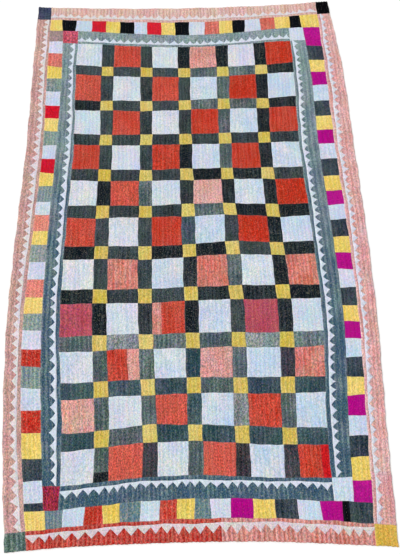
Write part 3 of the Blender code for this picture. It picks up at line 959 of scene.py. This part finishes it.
def material(look):
    """The cotton of the given look: faded, streaked, grainy and woven."""
    if look in bpy.data.materials:
        return bpy.data.materials[look]
    row = dict(zip(LOOK_COLUMNS, LOOKS[look]))
    colour, faded, speck_colour = [linear(row[name]) for name in ("colour", "faded", "speck")]
    graph = Graph(look)
    across, along, _, places = graph.stored("flat")
    share, rib, inside, _ = graph.stored("wear_and_rib_shade")
    streaks, _ = graph.noise(places, STREAK_SIZE, detail=3.0)
    clouds, _ = graph.noise(places, CLOUD_SIZE)
    _, hues = graph.noise(places, HUE_SIZE)
    grain, grain_hues = graph.noise(places, GRAIN_SIZE, detail=1.0)
    flecks, _ = graph.noise(places, SPECK_SIZE, detail=0.0)
    # The rib term paints crests paler and valleys darker: painted light and painted shade over real rubbing
    for value, amount in ((streaks, "streak"), (clouds, "cloud"), (rib, "wear_and_rib_shade")):
        share = graph.math("ADD", share, graph.centred(value, row[amount]))
    share = graph.math("MAXIMUM", graph.math("MINIMUM", share, 1.0), 0.0)
    colour = graph.mix(share, colour, faded)
    rim = graph.math("MULTIPLY", graph.math("SUBTRACT", 1.0, inside), row["rim"] * RIM_STRENGTH)
    colour = graph.mix(rim, colour, graph.mix(0.5, faded, linear(RIM_COLOUR)))
    speck = graph.math("MULTIPLY", graph.math("SUBTRACT", flecks, SPECK_FLOOR), SPECK_EDGE, clamp=True)
    colour = graph.mix(graph.math("MULTIPLY", speck, row["specks"]), colour, speck_colour)
    colour = graph.tint(colour, hues, HUE_CLOUDS * row["hue"])
    colour = graph.tint(colour, grain_hues, HUE_GRAIN * row["hue"])
    threads_over = weave(graph, across, along)
    light = graph.math("ADD", graph.centred(grain, GRAIN_SHADE * row["grain"]), 1.0)
    light = graph.math("ADD", light, graph.centred(threads_over, WEAVE_SHADE))
    colour = graph.vector("SCALE", colour, None, None, light)
    height = graph.math("ADD", graph.math("MULTIPLY", threads_over, WEAVE_SHARE), grain)
    bump = graph.add("ShaderNodeBump")
    for socket, value in (("Strength", BUMP_STRENGTH), ("Distance", WEAVE_DEPTH), ("Height", height)):
        graph.give(bump.inputs[socket], value)
    roughness = graph.math("MULTIPLY_ADD", grain, ROUGHNESS_CHANGE, ROUGHNESS)
    for socket, value in (("Base Color", colour), ("Roughness", roughness),
                          ("Specular IOR Level", SPECULAR), ("Normal", bump.outputs[0])):
        graph.give(graph.shader.inputs[socket], value)
    return graph.material


# Trims, stitches and backing

def trim_rows():
    """Each trim's row as a dictionary, with its two ends and its own uneven teeth."""
    trims = {}
    for name, values in TRIMS.items():
        row = dict(zip(TRIM_COLUMNS, values))
        teeth = row["teeth"]
        row["first"] = flat(row["start"]) + TRIM_END
        row["last"] = flat(row["end"]) - TRIM_END
        widths = np.cumsum(np.append(0, chance.uniform(*TOOTH_WIDTHS, teeth)))
        row["edges"] = row["first"] + (row["last"] - row["first"]) * widths / widths[-1]
        row["valleys"] = row["valley"] + chance.uniform(-VALLEY_CHANGE, VALLEY_CHANGE, teeth + 1)
        row["tips"] = row["tip"] + chance.uniform(*TIP_CHANGES, teeth)
        row["waves"] = chance.uniform(0, 2 * np.pi, 2)
        row["lengthwise"] = row["seam"] in LENGTHWISE
        trims[name] = row
    return trims


def trim_drift(row, run):
    """How much farther from its seam than stated a trim is, at places along it."""
    share = (run - row["first"]) / (row["last"] - row["first"])
    slow, quick = [wave(run, length, start) for length, start in zip(TRIM_WAVES, row["waves"])]
    return row["lean"] * (1 - 2 * share) + TRIM_WANDER * (slow + 0.5 * quick)


def trim_straight(row, run):
    """How far from its seam a trim's straight edge is, at places along it."""
    return row["straight"] + trim_drift(row, run)


def trim_reach(row, run):
    """How far from its seam a trim's toothed edge is, at places along it."""
    numbers = np.arange(row["teeth"] + 1)
    place = np.interp(run, row["edges"], numbers)
    tooth = np.minimum(place.astype(int), row["teeth"] - 1)
    rise = 1 - np.abs(2 * (place - tooth) - 1)
    bowed = 1 - (1 - rise) ** BOW_POWER
    shape = (1 - row["bow"]) * rise + row["bow"] * bowed
    valley = np.interp(place, numbers, row["valleys"])
    return valley + (row["tips"][tooth] - valley) * shape + trim_drift(row, run)


def crossed(row, away, run):
    """Flat places, across and along, from how far away from a trim's seam and along it."""
    off = flat(row["seam"]) + row["way"] * away
    return (off, run) if row["lengthwise"] else (run, off)


def trim_face(inside):
    """How far a trim's face is over the cloth it lies on, by the distance from its edge."""
    puff = smoothstep(inside / TRIM_EDGE)
    return TRIM_LIFT + TRIM_THICKNESS * (0.3 + 0.7 * puff) + TRIM_PUFF * puff


def trim(name, row):
    """A sawtooth strip that lies on the ribs of its border."""
    run = np.interp(np.arange(row["teeth"] * TOOTH_STEPS + 1) / TOOTH_STEPS,
                    np.arange(row["teeth"] + 1), row["edges"])
    straight = trim_straight(row, run)
    width = trim_reach(row, run) - straight
    depth = np.array(TRIM_STOPS)[:, None] * width[None, :]
    inside = TOOTH_SLANT * np.minimum(depth, width[None, :] - depth)
    inside = np.minimum(inside, np.minimum(run - row["first"], row["last"] - run))
    grids = (*crossed(row, straight + depth, np.broadcast_to(run, depth.shape)), inside)
    if row["way"] < 0:
        grids = [grid[::-1] for grid in grids]
    if row["lengthwise"]:
        grids = [grid.T for grid in grids]
    across, along, inside = grids
    base = face_height(across, along)
    points, faces, behind = closed_cloth(across, along, base + trim_face(inside), base + TRIM_LIFT)
    values = readings(across, along, chance.uniform(*SEEDS), TRIM_FADE, inside, behind)
    strip = new_object("sawtooth_" + name, points, faces, *values,
                       TRIM_LOOKS.get(name, "trim_white"), "white_cotton", ["trim_" + name])


def trim_cover(rows, across, along):
    """How far the trims raise the face at flat places; below 0 where an edge is near."""
    raised = np.zeros(len(across))
    for row in rows.values():
        run, off = (along, across) if row["lengthwise"] else (across, along)
        off = row["way"] * (off - flat(row["seam"]))
        inside = np.minimum(off - trim_straight(row, run), TOOTH_SLANT * (trim_reach(row, run) - off))
        inside = np.where((run > row["first"]) & (run < row["last"]), inside, -1.0)
        raised = np.where(inside > EDGE_CLEARANCE, trim_face(inside), raised)
        raised = np.where(np.abs(inside) <= EDGE_CLEARANCE, -1.0, raised)
    return raised


def spots(across, along, height):
    """Points over the surface, from flat places and heights."""
    x, y = laid(*pulled(across, along))
    return np.stack([x - CENTRE[0], y - CENTRE[1], height], axis=-1)


def lozenges(starts, ends, width, rise):
    """Points and faces of short threads from starts to ends, thick in the middle."""
    run = ends - starts
    side = np.stack([run[:, 1], -run[:, 0], np.zeros(len(run))], axis=-1)
    side = side / np.maximum(np.linalg.norm(side, axis=1), 1e-6)[:, None] * width / 2
    middle = (starts + ends) / 2
    up = np.array((0.0, 0.0, 1.0))
    corners = [starts, ends, middle - side, middle + rise * up, middle + side]
    points = np.stack(corners, axis=1).reshape(-1, 3)
    pattern = np.array(((0, 4, 3), (0, 3, 2), (0, 2, 4), (1, 3, 4), (1, 2, 3), (1, 4, 2)))
    faces = (pattern[None] + len(corners) * np.arange(len(run))[:, None, None]).reshape(-1, 3)
    return points, faces.tolist()


def threads(name, starts, ends, width, rise, look="thread"):
    """An object of many short stitches."""
    points, faces = lozenges(starts, ends, width, rise)
    each = len(points) // len(starts)
    seeds, fades = [np.repeat(chance.uniform(0, most, len(starts)), each)
                    for most in (SEEDS[1], PALEST_THREAD)]
    flats = np.stack([points[:, 0], points[:, 1], seeds], axis=-1)
    wear_and_rib_shade = np.stack(np.broadcast_arrays(fades, 0.5, 1.0), axis=-1)
    return new_object(name, points, faces, flats, wear_and_rib_shade, look, "sewing_thread", ())


def quilting_stitches(trims):
    """The running stitches that hold the layers together, row by row."""
    margin, uneven, sideways, slant = 0.005, 0.0006, 0.0003, 0.0002
    shortest, longest = 0.8, 1.15
    rows = ROW_NUMBERS[(ROWS > flat("left_edge") + margin) & (ROWS < flat("right_edge") - margin)]
    counts = np.arange(math.ceil((flat("foot_edge") + margin) / STITCH_PITCH) + 1,
                       math.floor((flat("head_edge") - margin) / STITCH_PITCH))
    row, count = [places.ravel() for places in np.meshgrid(rows, counts, indexing="ij")]
    along = (count + row_shift(row)) * STITCH_PITCH + chance.uniform(-uneven, uneven, len(row))
    across = ROWS[row] - wander(ROWS[row], along) + chance.uniform(-sideways, sideways, len(row))
    raised = trim_cover(trims, across, along)
    kept = raised >= 0
    across, along, raised = across[kept], along[kept], raised[kept]
    half = STITCH_LENGTH / 2 * chance.uniform(shortest, longest, len(across))
    lean = chance.uniform(-slant, slant, len(across))
    ends = []
    for way in (-1, 1):
        at, to = across + way * lean, along + way * half
        ends.append(spots(at, to, face_height(at, to) + raised - STITCH_SINK))
    return threads("quilting_stitches", *ends, STITCH_WIDTH, STITCH_RISE)


def edge_stitches():
    """The slanted stitches that close the quilt's edge, over it from face to back."""
    inset, outside, step, lean, uneven = 0.0022, 0.0002, 0.0095, 0.0012, 0.0008
    width, rise = 0.0007, 0.0003
    starts, ends = [], []
    for line, way in (("left_edge", 1), ("right_edge", -1), ("foot_edge", 1), ("head_edge", -1)):
        lengthwise = line in LENGTHWISE
        low, high = ("foot_edge", "head_edge") if lengthwise else ("left_edge", "right_edge")
        run = np.arange(flat(low) + step, flat(high) - step, step)
        run = run + chance.uniform(-uneven, uneven, len(run))
        path = []
        for stop, (depth, slide) in enumerate(((inset, -lean), (-outside, 0.0), (inset, lean))):
            off = np.full(len(run), flat(line) + way * depth)
            across, along = (off, run + slide) if lengthwise else (run + slide, off)
            above, _ = top_heights(across, along, np.ones(len(run)))
            below, _ = back_heights(across, along)
            middle = np.full(len(run), (EDGE_LOW + EDGE_HIGH) / 2)
            path.append(spots(across, along, (above, middle, below)[stop]))
        starts += path[:2]
        ends += path[1:]
    return threads("edge_stitches", np.concatenate(starts), np.concatenate(ends), width, rise)


def trim_stitches(trims):
    """The small stitches that hold the trims' turned edges down, in dark thread that paints the shadow line
    along the trims' edges.
    """
    step, length, nearby, uneven = 0.0042, 0.0016, 0.0002, 0.0006
    width, height = 0.0006, 0.00035
    on_trim = TRIM_LIFT + TRIM_THICKNESS * 0.7
    starts, ends = [], []
    for row in trims.values():
        run = np.arange(row["first"] + step, row["last"] - step, step)
        run = run + chance.uniform(-uneven, uneven, len(run))
        slope = (trim_reach(row, run + nearby) - trim_reach(row, run - nearby)) / (2 * nearby)
        toothed = (trim_reach(row, run), -slope, np.ones(len(run)))
        plain = (trim_straight(row, run), np.zeros(len(run)), -np.ones(len(run)))
        for away, along_normal, away_normal in (toothed, plain):
            size = np.hypot(along_normal, away_normal)
            for way, rise, path in ((-1, on_trim, starts), (1, 0.0, ends)):
                half = way * length / 2
                place = crossed(row, away + half * away_normal / size, run + half * along_normal / size)
                path.append(spots(*place, face_height(*place) + rise))
    return threads("trim_stitches", np.concatenate(starts), np.concatenate(ends),
                   width, height, "thread_dark_shadow_line")


def backing():
    """The stitched layers behind the top, ribbed like it, with their turned-in edge."""
    lines = ("left_edge", "right_edge", "foot_edge", "head_edge")
    whole = box_piece(*[flat(line) for line in lines], BACKING_FADE)
    across, along, seam = grid_places(whole, BACKING_COLUMNS_PER_RIB, BACKING_ROW_STEP)
    heights = back_heights(across, along)
    points, faces, behind = closed_cloth(across, along, *heights, len(RINGS), upside_down=True)
    values = readings(across, along, BACKING_SEED, BACKING_FADE, seam, behind)
    return new_object("quilt_backing", points, faces, *values,
                      "undyed", "backing_cotton", ["quilted_ground"])


# The whole quilt

def inner_band_fade(across, along):
    """The band is greener and paler towards the head, bluer towards the foot."""
    share = (along - flat("foot_squares")) / (flat("head_squares") - flat("foot_squares"))
    return BAND_FADES[0] + BAND_FADES[1] * share ** BAND_FADE_POWER


def slot_of(group):
    """The slot name listed for a group of patches or squares."""
    return next(slot for slot, groups in GROUP_SLOTS.items() if group in groups)


def make_top():
    """All the cloth that shows on the face."""
    for name, (look, slot, fade, *lines) in STRIPS.items():
        left, right, foot, head = [flat(line) if isinstance(line, str) else line for line in lines]
        piece = box_piece(left, right, foot, head, inner_band_fade if fade is None else fade)
        cloth("cloth_" + name, [piece], look, slot, [name])
    for name, pieces in field_pieces().items():
        cloth(name, pieces, name, slot_of(name), ["centre_field"])
    for name, rows in square_pieces().items():
        nodes = sorted({strip for strip, _ in rows})
        cloth(name, [piece for _, piece in rows], name, slot_of(name), nodes)


def make_floor():
    """A plain pale surface, a little uneven in tone."""
    half, drop, lumps, roughness = 6.0, 0.0002, (0.4, 0.4, 0.4), 0.9
    darker, lighter = linear((247, 247, 247)), linear((252, 252, 252))
    graph = Graph("floor")
    position = graph.add("ShaderNodeTexCoord").outputs["Object"]
    cloudy, _ = graph.noise(position, lumps)
    graph.give(graph.shader.inputs["Base Color"], graph.mix(cloudy, darker, lighter))
    graph.give(graph.shader.inputs["Roughness"], roughness)
    mesh = bpy.data.meshes.new("floor")
    mesh.from_pydata([(-half, -half, 0), (half, -half, 0), (half, half, 0), (-half, half, 0)],
                     [], [(0, 1, 2, 3)])
    mesh.materials.append(graph.material)
    floor = linked("floor", mesh)
    floor.location.z = -drop


def make_light():
    """Soft even daylight, and a broad sun from the left that shows the ribs."""
    daylight, sun, sun_width = 0.66, 1.8, math.radians(30)
    aim = Vector((0.62, -0.25, -0.80))
    world = bpy.data.worlds.new("daylight")
    world.use_nodes = True
    world.node_tree.nodes["Background"].inputs["Color"].default_value = (1.0, 1.0, 1.0, 1)
    world.node_tree.nodes["Background"].inputs["Strength"].default_value = daylight
    bpy.context.scene.world = world
    lamp = bpy.data.lights.new("broad_sun", "SUN")
    lamp.angle = sun_width
    lamp.energy = sun
    linked("broad_sun", lamp).rotation_euler = aim.to_track_quat("-Z", "Y").to_euler()
    bpy.context.scene.view_settings.view_transform = "Standard"


def make_camera():
    """The photograph's view: from near the foot, a little to the left, looking down."""
    lens = bpy.data.cameras.new("camera")
    lens.lens = CAMERA_LENS
    camera = linked("camera", lens)
    aim = (CAMERA_SPOT - CAMERA_PLACE).to_track_quat("-Z", "Y")
    camera.rotation_euler = (aim @ Quaternion((0, 0, 1), CAMERA_ROLL)).to_euler()
    camera.location = CAMERA_PLACE - Vector((*CENTRE, 0))
    bpy.context.scene.camera = camera


ground = backing()
make_top()
sawteeth = trim_rows()
for trim_name, trim_row in sawteeth.items():
    trim(trim_name, trim_row)
sewing = [quilting_stitches(sawteeth), edge_stitches(), trim_stitches(sawteeth)]
make_floor()
make_light()
make_camera()
